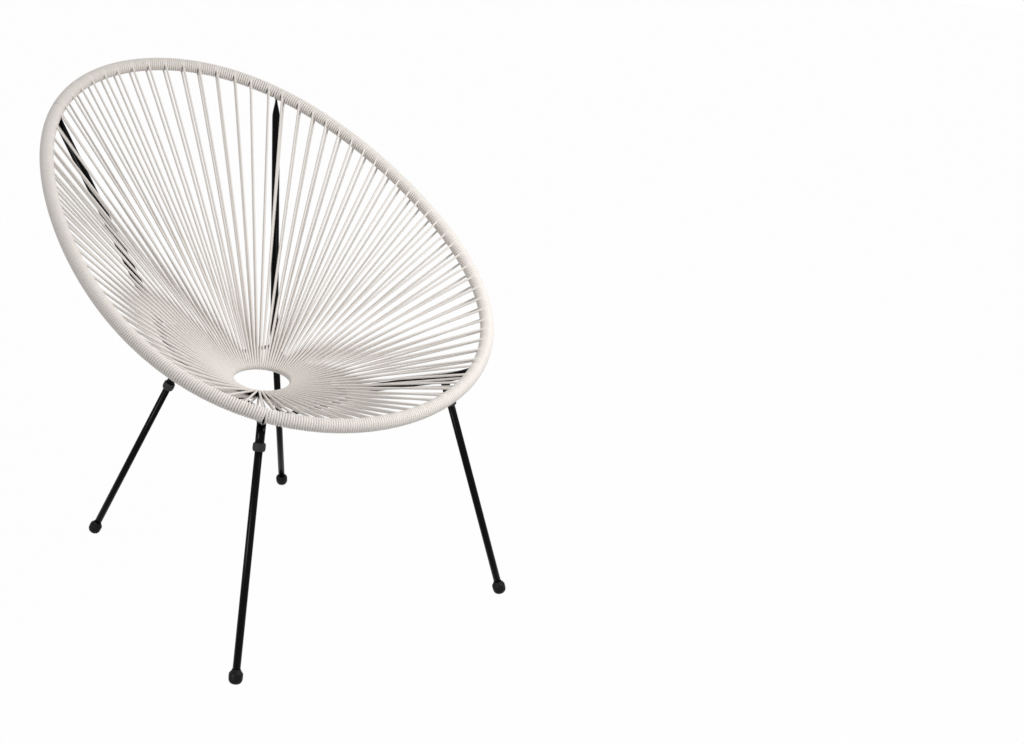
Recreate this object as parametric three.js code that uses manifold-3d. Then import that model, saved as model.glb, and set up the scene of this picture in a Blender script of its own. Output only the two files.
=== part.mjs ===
// Acapulco chair. An egg-shaped steel hoop, tilted back, is strung with round plastic cord that runs
// down to a small steel ring. Two bent side struts carry the hoop, and four legs screw into stubs
// under them. Sizes are millimetres and degrees. +Z is up, the sitter faces -Y, and the feet stand
// on Z = 0. Sides are named as the sitter has them: left is +X.

import * as THREE from 'three';
import { mergeVertices } from 'three/addons/utils/BufferGeometryUtils.js';
import Module from 'manifold-3d';

const wasm = await Module();
wasm.setup();

// Hoop: a flat egg, narrower towards its rear top, in a plane that rises to the rear
const hoopHalfWidth = 368.3;
const hoopHalfLength = 456.3;
const hoopTilt = 29.2;
const hoopHeight = 630.2;
const hoopTubeRadius = 8;
const eggNarrowShare = 0.08;
const eggShoulderShare = 0.03;
const eggBluntShare = 0.035;

// Cord: one size all over, in pairs of strands that crowd towards the front of the hoop
const cordRadius = 2;
const strandPairs = 86;
const strandCrowdShare = 0.147;
const cordPieces = 14;

// Seat ring: a bent rod where all strands turn back
const ringRadius = 58;
const ringRodRadius = 4;
const ringAhead = 24.8;
const ringHeight = 343.8;
const ringTilt = 7.8;

// Side struts: one bent tube a side, pinched flat at both ends for its weld to the hoop
const strutRadius = 7.5;
const frontWeldPair = 34.5;
const rearWeldPair = 7.5;
const frontWeldDropShare = 1.15;
const frontKneeReach = 57;
const frontKneeSag = 4.5;
const frontKneeFillet = 20;
const rearWeldDropShare = 1;
const rearWeldOutShare = 0.75;
const strutPassGap = 5.2;
const strutRunAngle = 14.5;
const frontElbowRun = 45.7;
const frontElbowDrop = 21;
const rearElbowRun = 136;
const rearElbowRise = 10.5;
const frontElbowFillet = 38;
const rearElbowFillet = 26;
const pinchFlatLength = 8;
const frontPinchLength = 32;
const rearPinchLength = 46;
const pinchThinShare = 0.27;
const pinchWideShare = 1.25;

// Crossbars: two thin rods that tie the struts together
const crossbarRadius = 3.5;
const frontBarReach = 118;
const frontBarGap = 7;

// Legs and the stubs that they screw into
const stubRadius = 7.5;
const stubWall = 1.3;
const legRadius = 6.4;
const legWall = 1.2;
const frontFootSide = 278.7;
const frontFootAhead = 385.3;
const frontStubLength = 43.5;
const rearFootSide = 213.6;
const rearFootBehind = 211.9;
const rearStubLength = 49.5;
const collarRadius = 10.5;
const collarLength = 14;
const collarEdge = 1.6;
const threadRadius = 4;
const threadLength = 20;
const plugLength = 12;
const insertLength = 14;
const footRadius = 11.5;
const footCentreHeight = 10.6;
const footNeckRadius = 8.6;
const footNeckLength = 15;
const footFloor = 4;

// Clearance between pieces that touch
const fitGap = 0.3;

// Facets
const wrapSides = 8;
const ringSides = 10;
const boreSides = 8;
const cordSides = 4;
const tubeSides = 12;
const turnedSides = 16;
const bendSteps = 5;
const ballSteps = 6;
const arcSamples = 1440;

const up = new THREE.Vector3(0, 0, 1);
const turnedAxis = new THREE.Vector3(0, 1, 0);

const chair = new THREE.Group();
chair.name = 'acapulco_chair';

const blackSteel = { color: 0x17181a, roughness: 0.42, metalness: 0.55 };
const creamCord = { color: 0xe9e4db, roughness: 0.5, metalness: 0 };
const blackPlastic = { color: 0x202022, roughness: 0.6, metalness: 0 };
const zincSteel = { color: 0x9a9c9f, roughness: 0.35, metalness: 0.9 };

function place(name, geometry, look) {
  const mesh = new THREE.Mesh(geometry, new THREE.MeshStandardMaterial(look));
  mesh.name = name;
  chair.add(mesh);
  return mesh;
}

// Solids: a closed geometry becomes one that can be joined and cut, and comes back as a geometry

function solid(geometry) {
  const bare = geometry.clone();
  bare.deleteAttribute('normal');
  bare.deleteAttribute('uv');
  const merged = mergeVertices(bare);
  return new wasm.Manifold(new wasm.Mesh({
    numProp: 3,
    vertProperties: new Float32Array(merged.attributes.position.array),
    triVerts: new Uint32Array(merged.index.array),
  }));
}

function geometryOf(body) {
  const mesh = body.getMesh();
  const geometry = new THREE.BufferGeometry();
  geometry.setAttribute('position', new THREE.BufferAttribute(new Float32Array(mesh.vertProperties), 3));
  geometry.setIndex(new THREE.BufferAttribute(new Uint32Array(mesh.triVerts), 1));
  geometry.computeVertexNormals();
  return geometry;
}

// A copy on the chair's other side, turned face out again
function mirrored(geometry) {
  const copy = geometry.clone().scale(-1, 1, 1);
  const corners = copy.index.array;
  for (let first = 0; first < corners.length; first += 3) {
    [corners[first + 1], corners[first + 2]] = [corners[first + 2], corners[first + 1]];
  }
  copy.computeVertexNormals();
  return copy;
}

// A closed skin over a row of rings of points, which run anticlockwise about the way of travel
function skin(rings, looped) {
  const sides = rings[0].length;
  const spans = looped ? rings.length : rings.length - 1;
  const corners = [];
  for (let ring = 0; ring < spans; ring += 1) {
    const near = ring * sides;
    const far = ((ring + 1) % rings.length) * sides;
    for (let side = 0; side < sides; side += 1) {
      const next = (side + 1) % sides;
      corners.push(near + side, near + next, far + next, near + side, far + next, far + side);
    }
  }
  if (!looped) {
    const last = spans * sides;
    for (let side = 1; side < sides - 1; side += 1) {
      corners.push(0, side + 1, side, last, last + side, last + side + 1);
    }
  }
  const geometry = new THREE.BufferGeometry().setFromPoints(rings.flat());
  geometry.setIndex(corners);
  geometry.computeVertexNormals();
  return geometry;
}

// One ring of points: a round or oval section about a centre, across the way of travel
function section(centre, travel, reference, sides, radius, acrossRadius = radius) {
  const across = travel.clone().cross(reference).normalize();
  const along = across.clone().cross(travel).normalize();
  return Array.from({ length: sides }, (unused, side) => {
    const angle = (side + 0.5) / sides * 2 * Math.PI;
    return centre.clone()
      .addScaledVector(along, radius * Math.cos(angle))
      .addScaledVector(across, acrossRadius * Math.sin(angle));
  });
}

// The corner radius that gives a facetted section the area of the round one
function sameArea(radius, sides) {
  return radius * Math.sqrt(2 * Math.PI / (sides * Math.sin(2 * Math.PI / sides)));
}

// Hoop centre line, by arc length from its rear top towards the sitter's left

const hoopNormal = new THREE.Vector3(
  0,
  -Math.sin(THREE.MathUtils.degToRad(hoopTilt)),
  Math.cos(THREE.MathUtils.degToRad(hoopTilt)),
);

function hoopPoint(turn) {
  const side = hoopHalfWidth
    * (Math.sin(turn) - eggNarrowShare * Math.sin(2 * turn) + eggShoulderShare * Math.sin(3 * turn));
  const back = hoopHalfLength * (Math.cos(turn) - eggBluntShare * Math.cos(2 * turn));
  const tilt = THREE.MathUtils.degToRad(hoopTilt);
  return new THREE.Vector3(side, back * Math.cos(tilt), hoopHeight + back * Math.sin(tilt));
}

// Running counts along the hoop: how far each sample lies, and how many strand pairs precede it
const hoopTable = [{ turn: 0, arc: 0, pairs: 0 }];
for (let sample = 1; sample <= arcSamples; sample += 1) {
  const before = hoopTable[sample - 1];
  const turn = sample / arcSamples * 2 * Math.PI;
  const step = hoopPoint(turn).distanceTo(hoopPoint(before.turn));
  const crowding = 1 + strandCrowdShare * Math.cos((turn + before.turn) / 2);
  hoopTable.push({ turn, arc: before.arc + step, pairs: before.pairs + step / crowding });
}
const hoopLength = hoopTable[arcSamples].arc;
const pairScale = strandPairs / hoopTable[arcSamples].pairs;
hoopTable.forEach((row) => { row.pairs *= pairScale; });

// Reads one column of the table where another has a value, going on past either end
function lookUp(value, from, to) {
  const whole = hoopTable[arcSamples][from];
  const laps = Math.floor(value / whole);
  const rest = value - laps * whole;
  let low = 0;
  let high = arcSamples;
  while (high - low > 1) {
    const middle = Math.floor((low + high) / 2);
    if (hoopTable[middle][from] <= rest) low = middle;
    else high = middle;
  }
  const share = (rest - hoopTable[low][from]) / (hoopTable[high][from] - hoopTable[low][from]);
  return laps * hoopTable[arcSamples][to]
    + THREE.MathUtils.lerp(hoopTable[low][to], hoopTable[high][to], share);
}

function hoopAtPair(pair) {
  const turn = lookUp(pair, 'pairs', 'turn');
  const nudge = 2 * Math.PI / arcSamples;
  const travel = hoopPoint(turn + nudge).sub(hoopPoint(turn - nudge)).normalize();
  return { centre: hoopPoint(turn), travel };
}

// Seat ring centre line: the strand pairs reach it at equal steps

const ringCentre = new THREE.Vector3(0, -ringAhead, ringHeight);
const ringTurn = new THREE.Euler(THREE.MathUtils.degToRad(ringTilt), 0, 0);

function ringAtPair(pair) {
  const angle = pair / strandPairs * 2 * Math.PI;
  const outward = new THREE.Vector3(Math.sin(angle), Math.cos(angle), 0).applyEuler(ringTurn);
  const travel = new THREE.Vector3(Math.cos(angle), -Math.sin(angle), 0).applyEuler(ringTurn);
  return { centre: ringCentre.clone().addScaledVector(outward, ringRadius), travel };
}

// Facets of the hoop face the ring, so that strands leave the winding at the same facets all round
function hoopRing(pair, radius, sides) {
  const { centre, travel } = hoopAtPair(pair);
  const towards = ringAtPair(pair).centre.sub(centre);
  return section(centre, travel, towards, sides, radius);
}

function hoopRings(firstPair, lastPair, radius) {
  const count = lastPair - firstPair + 1;
  return Array.from({ length: count }, (unused, step) =>
    hoopRing(firstPair + step, radius, boreSides));
}

// The bore through the winding is cut by the hoop tube's own rings, grown by the clearance
const hoopBoreRadius = hoopTubeRadius + fitGap / Math.cos(Math.PI / boreSides);
place('hoop_tube', skin(hoopRings(-0.5, strandPairs - 1.5, hoopTubeRadius), true), blackSteel);

// Seat ring and the cord wound round it

const ringWindingRadius = ringRodRadius + 2 * cordRadius;
const ringBoreRadius = ringRodRadius + fitGap / Math.cos(Math.PI / boreSides);
const ringUp = up.clone().applyEuler(ringTurn);

// Rings of points about the seat ring. The winding's two ends meet at the rear, a clearance apart.
function ringRings(firstPair, lastPair, radius, sides) {
  const count = Math.round((lastPair - firstPair) / 2) + 1;
  return Array.from({ length: count }, (unused, step) => {
    const pair = THREE.MathUtils.lerp(firstPair, lastPair, step / (count - 1));
    const spot = ringAtPair(pair);
    return section(spot.centre, spot.travel, ringUp, sides, radius);
  });
}

const ringEnd = fitGap / ringRadius / (4 * Math.PI) * strandPairs;
const ringWinding = solid(skin(
  ringRings(ringEnd, strandPairs - ringEnd, ringWindingRadius, ringSides),
  false,
)).subtract(solid(skin(ringRings(0, strandPairs - 2, ringBoreRadius, boreSides), true)));
place('seat_ring', skin(ringRings(0, strandPairs - 2, ringRodRadius, boreSides), true), blackSteel);
place('ring_winding', geometryOf(ringWinding), creamCord);

// Side struts: front weld, straight arm, elbow ahead of the ring, run past the ring, rear elbow,
// straight arm up to the rear weld

const ringPassRadius = ringRadius + ringWindingRadius + strutPassGap;
const runAngle = THREE.MathUtils.degToRad(strutRunAngle);
const runWay = new THREE.Vector3(Math.sin(runAngle), Math.cos(runAngle), 0);
const nearestPass = ringCentre.clone()
  .add(new THREE.Vector3(Math.cos(runAngle), -Math.sin(runAngle), 0).multiplyScalar(ringPassRadius));
const frontElbow = nearestPass.clone()
  .addScaledVector(runWay, -frontElbowRun)
  .addScaledVector(up, -frontElbowDrop);
const rearElbow = nearestPass.clone()
  .addScaledVector(runWay, rearElbowRun)
  .addScaledVector(up, rearElbowRise);
const frontWeld = hoopAtPair(frontWeldPair);
const rearWeld = hoopAtPair(rearWeldPair);
const rearOutward = hoopNormal.clone().cross(rearWeld.travel);
const frontWeldPoint = frontWeld.centre.clone()
  .addScaledVector(hoopNormal, -hoopTubeRadius * frontWeldDropShare);
const rearWeldPoint = rearWeld.centre.clone()
  .addScaledVector(hoopNormal, -hoopTubeRadius * rearWeldDropShare)
  .addScaledVector(rearOutward, hoopTubeRadius * rearWeldOutShare);

const frontKnee = frontWeldPoint.clone()
  .add(frontElbow.clone().sub(frontWeldPoint).setLength(frontKneeReach))
  .addScaledVector(up, -frontKneeSag);

// A bend is a parabola between the points where the straight runs stop, short of the corner
function bend(before, corner, after, fillet) {
  const start = corner.clone().add(before.clone().sub(corner).setLength(fillet));
  const end = corner.clone().add(after.clone().sub(corner).setLength(fillet));
  return new THREE.QuadraticBezierCurve3(start, corner, end);
}

const kneeBend = bend(frontWeldPoint, frontKnee, frontElbow, frontKneeFillet);
const frontBend = bend(frontKnee, frontElbow, rearElbow, frontElbowFillet);
const rearBend = bend(frontElbow, rearElbow, rearWeldPoint, rearElbowFillet);

// The strut's section is round, and near each weld it narrows along the hoop and widens across it.
// Grown all round and at its ends, it is the envelope that clears other pieces.
function strut(growth) {
  const frontArm = kneeBend.getPoint(0).sub(frontWeldPoint);
  const rearArm = rearWeldPoint.clone().sub(rearBend.getPoint(1));
  const frontNeck = frontWeldPoint.clone().add(frontArm.clone().setLength(frontPinchLength));
  const rearNeck = rearWeldPoint.clone().sub(rearArm.clone().setLength(rearPinchLength));
  const frontMouth = frontWeldPoint.clone().add(frontArm.clone().setLength(pinchFlatLength));
  const rearMouth = rearWeldPoint.clone().sub(rearArm.clone().setLength(pinchFlatLength));
  const stations = [
    { at: frontWeldPoint.clone().sub(frontArm.clone().setLength(growth)), travel: frontArm, pinch: 1 },
    { at: frontMouth, travel: frontArm, pinch: 1 },
    { at: frontNeck, travel: frontArm, pinch: 0 },
  ];
  for (const curve of [kneeBend, frontBend, rearBend]) {
    for (let step = 0; step <= bendSteps; step += 1) {
      const share = step / bendSteps;
      stations.push({ at: curve.getPoint(share), travel: curve.getTangent(share), pinch: 0 });
    }
  }
  stations.push(
    { at: rearNeck, travel: rearArm, pinch: 0 },
    { at: rearMouth, travel: rearArm, pinch: 1 },
    { at: rearWeldPoint.clone().add(rearArm.clone().setLength(growth)), travel: rearArm, pinch: 1 },
  );
  const whole = stations.length - 1;
  return skin(stations.map(({ at, travel, pinch }, index) => {
    const reference = frontWeld.travel.clone().negate().lerp(rearWeld.travel, index / whole);
    const thin = strutRadius * THREE.MathUtils.lerp(1, pinchThinShare, pinch) + growth;
    const wide = strutRadius * THREE.MathUtils.lerp(1, pinchWideShare, pinch) + growth;
    return section(at, travel.clone().normalize(), reference, tubeSides, thin, wide);
  }), false);
}

const hoopEnvelope = solid(skin(hoopRings(-0.5, strandPairs - 1.5, hoopBoreRadius), true));
const strutEnvelope = solid(strut(fitGap));
const strutEnvelopes = [strutEnvelope, solid(mirrored(geometryOf(strutEnvelope)))];
const strutBody = geometryOf(solid(strut(0)).subtract(hoopEnvelope));
place('side_strut_left', strutBody, blackSteel);
place('side_strut_right', mirrored(strutBody), blackSteel);

// Seat cord: each length is wound round its stretch of the hoop, and drops a front and a back
// strand to the seat ring at every pair. The winding keeps clear of the strut welds.

const windingRadius = sameArea(hoopTubeRadius + 2 * cordRadius, wrapSides);
const windingWallMiddle = (windingRadius * Math.cos(Math.PI / wrapSides)
  + hoopBoreRadius * Math.cos(Math.PI / boreSides)) / 2;
const ringSeatRadius = ringRodRadius + cordRadius;
const strandStop = Math.sqrt((ringWindingRadius + fitGap) ** 2 - ringRodRadius ** 2);

// A strand leaves the hoop on its upper side for a front strand, or its lower side for a back one,
// and runs straight towards the same side of the ring
function strandEnds(pair, face) {
  const hoop = hoopAtPair(pair);
  const ring = ringAtPair(pair);
  const from = hoop.centre.clone();
  const to = ring.centre.clone();
  for (let pass = 0; pass < 3; pass += 1) {
    const run = to.clone().sub(from).normalize();
    const hoopFace = run.clone().cross(hoop.travel).normalize();
    const ringFace = run.clone().cross(ring.travel).normalize();
    from.copy(hoop.centre).addScaledVector(hoopFace, face * windingWallMiddle);
    to.copy(ring.centre).addScaledVector(ringFace, face * ringSeatRadius);
  }
  const run = to.clone().sub(from).normalize();
  return { run, from: from.addScaledVector(run, -cordRadius), to: to.addScaledVector(run, -strandStop) };
}

function strand(pair, face) {
  const { run, from, to } = strandEnds(pair, face);
  const outward = run.clone().cross(hoopAtPair(pair).travel);
  return skin([
    section(from, run, outward, cordSides, sameArea(cordRadius, cordSides)),
    section(to, run, outward, cordSides, sameArea(cordRadius, cordSides)),
  ], false);
}

function seatCord(firstPair, lastPair) {
  const startArc = lookUp(firstPair - 0.5, 'pairs', 'arc') + fitGap / 2;
  const endArc = lookUp(lastPair + 0.5, 'pairs', 'arc') - fitGap / 2;
  const spots = [lookUp(startArc, 'arc', 'pairs')];
  for (let pair = firstPair + 0.5; pair < lastPair + 0.5; pair += 1) spots.push(pair);
  spots.push(lookUp(endArc, 'arc', 'pairs'));
  let body = solid(skin(spots.map((pair) => hoopRing(pair, windingRadius, wrapSides)), false));
  for (const envelope of strutEnvelopes) body = body.subtract(envelope);
  for (let pair = firstPair; pair <= lastPair; pair += 1) {
    body = body.add(solid(strand(pair, 1))).add(solid(strand(pair, -1)));
  }
  const bore = skin(hoopRings(firstPair - 1.5, lastPair + 1.5, hoopBoreRadius), false);
  return geometryOf(body.subtract(solid(bore)));
}

for (let piece = 0; piece < cordPieces; piece += 1) {
  const firstPair = Math.round(piece * strandPairs / cordPieces);
  const lastPair = Math.round((piece + 1) * strandPairs / cordPieces) - 1;
  place(`seat_cord_${piece + 1}`, seatCord(firstPair, lastPair), creamCord);
}

// Legs: the axis of each runs from its foot to the strut. The stub hangs from the strut and holds a
// threaded insert, the leg carries the thread, and a collar covers the joint.

const frontJoint = kneeBend.getPoint(0.5);
const rearJoint = rearBend.getPoint(0.5);
const frontFoot = new THREE.Vector3(frontFootSide, -frontFootAhead, footCentreHeight);
const rearFoot = new THREE.Vector3(rearFootSide, rearFootBehind, footCentreHeight);

// A turned piece: its profile is radius and height, and it closes on itself or on the axis
function turned(profile, sides = turnedSides) {
  return new THREE.LatheGeometry(profile.map(([radius, height]) =>
    new THREE.Vector2(radius, height)), sides);
}

function tube(outer, inner, from, to, sides = turnedSides) {
  return turned([[inner, from], [outer, from], [outer, to], [inner, to], [inner, from]], sides);
}

function legTransform(foot, joint) {
  const axis = joint.clone().sub(foot).normalize();
  const turn = new THREE.Quaternion().setFromUnitVectors(turnedAxis, axis);
  return new THREE.Matrix4().compose(foot, turn, new THREE.Vector3(1, 1, 1));
}

// The foot is a ball with a neck, bored for the leg and cut flat where it stands
function footGeometry(transform) {
  const neckAngle = Math.asin(footNeckRadius / footRadius);
  const ball = [];
  for (let step = 0; step <= ballSteps; step += 1) {
    const angle = THREE.MathUtils.lerp(Math.PI, neckAngle, step / ballSteps);
    ball.push([footRadius * Math.sin(angle), footRadius * Math.cos(angle)]);
  }
  ball[0][0] = 0;
  const bore = legRadius + fitGap;
  const boreFloor = footFloor - footRadius / 2;
  const outline = [
    ...ball,
    [footNeckRadius, footNeckLength],
    [bore, footNeckLength],
    [bore, boreFloor],
    [0, boreFloor],
  ];
  const ground = new THREE.BoxGeometry(footRadius * 4, footRadius * 4, footRadius);
  const middle = new THREE.Vector3().setFromMatrixPosition(transform);
  ground.translate(middle.x, middle.y, -footRadius / 2);
  return geometryOf(solid(turned(outline).applyMatrix4(transform)).subtract(solid(ground)));
}

const legs = [
  { name: 'front_left', foot: frontFoot, joint: frontJoint, stubLength: frontStubLength, flip: false },
  { name: 'front_right', foot: frontFoot, joint: frontJoint, stubLength: frontStubLength, flip: true },
  { name: 'rear_left', foot: rearFoot, joint: rearJoint, stubLength: rearStubLength, flip: false },
  { name: 'rear_right', foot: rearFoot, joint: rearJoint, stubLength: rearStubLength, flip: true },
];

for (const { name, foot, joint, stubLength, flip } of legs) {
  const transform = legTransform(foot, joint);
  const settle = (geometry) => {
    const placed = geometryOf(solid(geometry.applyMatrix4(transform)));
    return flip ? mirrored(placed) : placed;
  };
  const reach = joint.distanceTo(foot);
  const length = reach - stubLength;
  const stubBore = stubRadius - stubWall;
  const legBore = legRadius - legWall;
  const legFoot = footFloor - footRadius / 2 + fitGap;
  const stubStart = length + fitGap;

  const stub = solid(tube(stubRadius, stubBore, stubStart, reach).applyMatrix4(transform))
    .subtract(strutEnvelope);
  const topmost = stub.decompose().sort((one, other) => other.volume() - one.volume())[0];
  const stubGeometry = geometryOf(topmost);
  place(`${name}_stub`, flip ? mirrored(stubGeometry) : stubGeometry, blackSteel);

  place(`${name}_insert`, settle(tube(
    stubBore - fitGap,
    threadRadius + fitGap,
    stubStart + fitGap,
    stubStart + fitGap + insertLength,
  )), zincSteel);

  place(`${name}_thread`, settle(turned([
    [0, length - plugLength],
    [legBore - fitGap, length - plugLength],
    [legBore - fitGap, length],
    [threadRadius, length],
    [threadRadius, length + threadLength - collarEdge],
    [threadRadius - collarEdge, length + threadLength],
    [0, length + threadLength],
  ])), zincSteel);

  const low = length - collarLength / 2;
  const high = length + collarLength / 2;
  place(`${name}_collar`, settle(turned([
    [legRadius + fitGap, low],
    [collarRadius - collarEdge, low],
    [collarRadius, low + collarEdge],
    [collarRadius, high - collarEdge],
    [collarRadius - collarEdge, high],
    [stubRadius + fitGap, high],
    [stubRadius + fitGap, length],
    [legRadius + fitGap, length],
    [legRadius + fitGap, low],
  ])), blackPlastic);

  place(`${name}_leg`, settle(tube(legRadius, legBore, legFoot, length)), blackSteel);

  const shoe = footGeometry(transform);
  place(`${name}_foot`, flip ? mirrored(shoe) : shoe, blackPlastic);
}

// Crossbars: the front one bows down from the struts' front arms, a gap below the strands at its
// middle, and the rear one runs straight between the rear elbows

function crossbar(end, sag, steps) {
  const middle = new THREE.Vector3(0, end.y, end.z - 2 * sag);
  const far = new THREE.Vector3(-end.x, end.y, end.z);
  const axis = new THREE.QuadraticBezierCurve3(end, middle, far);
  const rings = Array.from({ length: steps + 1 }, (unused, step) => section(
    axis.getPoint(step / steps), axis.getTangent(step / steps), up, tubeSides, crossbarRadius,
  ));
  let body = solid(skin(rings, false));
  for (const envelope of strutEnvelopes) body = body.subtract(envelope);
  return geometryOf(body.decompose().sort((one, other) => other.volume() - one.volume())[0]);
}

const frontBarEnd = frontElbow.clone()
  .add(frontKnee.clone().sub(frontElbow).setLength(frontBarReach))
  .addScaledVector(up, -strutRadius);
const frontStrand = strandEnds(strandPairs / 2, -1);
const frontStrandHeight = THREE.MathUtils.mapLinear(
  frontBarEnd.y, frontStrand.from.y, frontStrand.to.y, frontStrand.from.z, frontStrand.to.z,
);
const frontBarSag = frontBarEnd.z - frontStrandHeight + frontBarGap;
place('front_crossbar', crossbar(frontBarEnd, frontBarSag, 2 * bendSteps), blackSteel);
place('rear_crossbar', crossbar(rearJoint, 0, 1), blackSteel);

// The origin is on the floor, under the middle of the whole chair's box
const box = new THREE.Box3().setFromObject(chair, true);
chair.position.y = -(box.min.y + box.max.y) / 2;

export default chair;
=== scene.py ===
"""An acapulco chair: an egg-shaped steel hoop strung with round plastic cord down to a small ring,
on two bent side struts with four screw-in legs. Metres, +Z up, and the sitter faces -Y."""

import math

import bpy
import numpy as np
from mathutils import Euler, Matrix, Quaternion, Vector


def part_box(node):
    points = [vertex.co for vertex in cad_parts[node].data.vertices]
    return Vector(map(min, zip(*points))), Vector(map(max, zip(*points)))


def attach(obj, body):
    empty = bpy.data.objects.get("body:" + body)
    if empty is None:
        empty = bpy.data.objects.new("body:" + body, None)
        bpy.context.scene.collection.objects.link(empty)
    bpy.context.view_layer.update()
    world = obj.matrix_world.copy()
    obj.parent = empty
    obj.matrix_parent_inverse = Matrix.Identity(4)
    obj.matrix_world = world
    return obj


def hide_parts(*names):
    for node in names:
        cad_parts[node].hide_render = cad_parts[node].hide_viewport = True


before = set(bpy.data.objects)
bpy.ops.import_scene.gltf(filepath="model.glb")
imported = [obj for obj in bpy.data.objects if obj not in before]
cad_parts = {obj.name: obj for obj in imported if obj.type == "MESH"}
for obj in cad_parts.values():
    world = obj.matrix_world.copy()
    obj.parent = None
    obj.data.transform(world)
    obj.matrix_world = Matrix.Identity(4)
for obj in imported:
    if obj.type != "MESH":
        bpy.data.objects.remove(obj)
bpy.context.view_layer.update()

# The hoop: a steel tube bent to a flat egg, narrower at its rear top and tilted up to the rear.
# It is powder coated black, and the cord wound round it hides nearly all of it.

HOOP_HALF_WIDTH = 0.3683
HOOP_HALF_LENGTH = 0.4563
HOOP_TILT = math.radians(29.2)
HOOP_HEIGHT = 0.6302
HOOP_TUBE_RADIUS = 0.008
EGG_NARROW_SHARE = 0.08
EGG_SHOULDER_SHARE = 0.03
EGG_BLUNT_SHARE = 0.035
STRAND_PAIRS = 86
STRAND_CROWD_SHARE = 0.147
ARC_SAMPLES = 5760
RING_AHEAD = 0.0248
POWDER_BLACK = (0.0012, 0.0012, 0.0014)
POWDER_BLOOM = (0.0035, 0.0035, 0.0038)
POWDER_ROUGHNESS = 0.17
POWDER_SPECULAR = 0.06
PEEL_LUMPS = 900
PEEL_DEPTH = 0.00002
PATCH_LUMPS = 35
DUST_LUMPS = 140
BLOOM_GAIN = 1.6
PATCH_DULLING = 0.06
DUST_DULLING = 0.05

ring_low, ring_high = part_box("seat_ring")
origin_shift = (ring_low[1] + ring_high[1]) / 2 + RING_AHEAD


def unit(vectors):
    """Each vector divided by its own length."""
    return vectors / np.linalg.norm(vectors, axis=-1, keepdims=True)


def hoop_line(turn):
    """The egg. Across is the half width times (sin t - narrow sin 2t + shoulder sin 3t), and back
    is the half length times (cos t - blunt cos 2t). Back then rises at the tilt."""
    across = HOOP_HALF_WIDTH * (
        np.sin(turn) - EGG_NARROW_SHARE * np.sin(2 * turn) + EGG_SHOULDER_SHARE * np.sin(3 * turn))
    back = HOOP_HALF_LENGTH * (np.cos(turn) - EGG_BLUNT_SHARE * np.cos(2 * turn))
    return np.stack([
        across,
        back * math.cos(HOOP_TILT) + origin_shift,
        HOOP_HEIGHT + back * math.sin(HOOP_TILT),
    ], axis=-1)


# Running sums along the hoop: its arc, and the strand pairs, which crowd towards its front
turns = np.linspace(0, 2 * math.pi, ARC_SAMPLES + 1)
arc_steps = np.linalg.norm(np.diff(hoop_line(turns), axis=0), axis=1)
crowding = 1 + STRAND_CROWD_SHARE * np.cos((turns[1:] + turns[:-1]) / 2)
arcs = np.concatenate([[0], np.cumsum(arc_steps)])
pairs = np.concatenate([[0], np.cumsum(arc_steps / crowding)])
pairs *= STRAND_PAIRS / pairs[-1]
hoop_length = arcs[-1]


def read_on(value, known, wanted):
    """Linear look-up of one running sum from another, carried on past either end of the hoop."""
    laps = np.floor(value / known[-1])
    return laps * wanted[-1] + np.interp(value - laps * known[-1], known, wanted)


def hoop_at(arc):
    """The centre of the tube and its direction, where the arc from the rear top is given."""
    turn = read_on(np.asarray(arc, float), arcs, turns)
    nudge = math.pi / ARC_SAMPLES
    return hoop_line(turn), unit(hoop_line(turn + nudge) - hoop_line(turn - nudge))


class Signal:
    """One output socket of a node. Sums on it add Math nodes, so a value can be written as Python."""

    def __init__(self, finish, socket):
        self.finish = finish
        self.socket = socket

    def maths(self, operation, first, second):
        """A Math node on two values, either of which may be a plain number."""
        return self.finish.node("ShaderNodeMath", {"operation": operation}, {0: first, 1: second})

    def __add__(self, other):
        return self.maths("ADD", self, other)

    def __radd__(self, other):
        return self.maths("ADD", other, self)

    def __mul__(self, other):
        return self.maths("MULTIPLY", self, other)

    def __rmul__(self, other):
        return self.maths("MULTIPLY", other, self)


class Finish:
    """A material, or another owner of a node tree, that is built up node by node."""

    def __init__(self, owner):
        owner.use_nodes = True
        self.owner = owner
        self.tree = owner.node_tree
        self.tree.nodes.clear()

    def node(self, kind, settings=None, sockets=None, output=0):
        """Adds a node: settings first, then a value or a Signal on each socket that is named."""
        added = self.tree.nodes.new(kind)
        for name, value in (settings or {}).items():
            setattr(added, name, value)
        for name, value in (sockets or {}).items():
            if isinstance(value, Signal):
                self.tree.links.new(value.socket, added.inputs[name])
            else:
                added.inputs[name].default_value = value
        return Signal(self, added.outputs[output]) if added.outputs else None

    def noise(self, place, scale, detail=2, roughness=0.5):
        """Soft noise, 0 to 1, with so many lumps to the metre."""
        return self.node("ShaderNodeTexNoise", {}, {
            "Vector": place, "Scale": scale, "Detail": detail, "Roughness": roughness})

    def tint(self, share, low, high):
        """A colour between two others. A Mix node has its factor at socket 0, its colours at 6 and 7,
        and the mixed colour at output 2."""
        return self.node("ShaderNodeMix", {"data_type": "RGBA"}, {
            0: share, 6: (*low, 1), 7: (*high, 1)}, 2)

    def bump(self, height, depth, normal=None):
        """Relief of a depth in metres, from a height of 0 to 1."""
        sockets = {"Height": height, "Distance": depth, "Strength": 1.0}
        if normal is not None:
            sockets["Normal"] = normal
        return self.node("ShaderNodeBump", {}, sockets)

    def surface(self, colour, roughness, normal, constants):
        """Ends the material in one shader. Constants go straight on its sockets."""
        shader = self.node("ShaderNodeBsdfPrincipled", {}, {
            "Base Color": colour, "Roughness": roughness, "Normal": normal, **constants})
        self.node("ShaderNodeOutputMaterial", {}, {"Surface": shader})
        return self.owner


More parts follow.
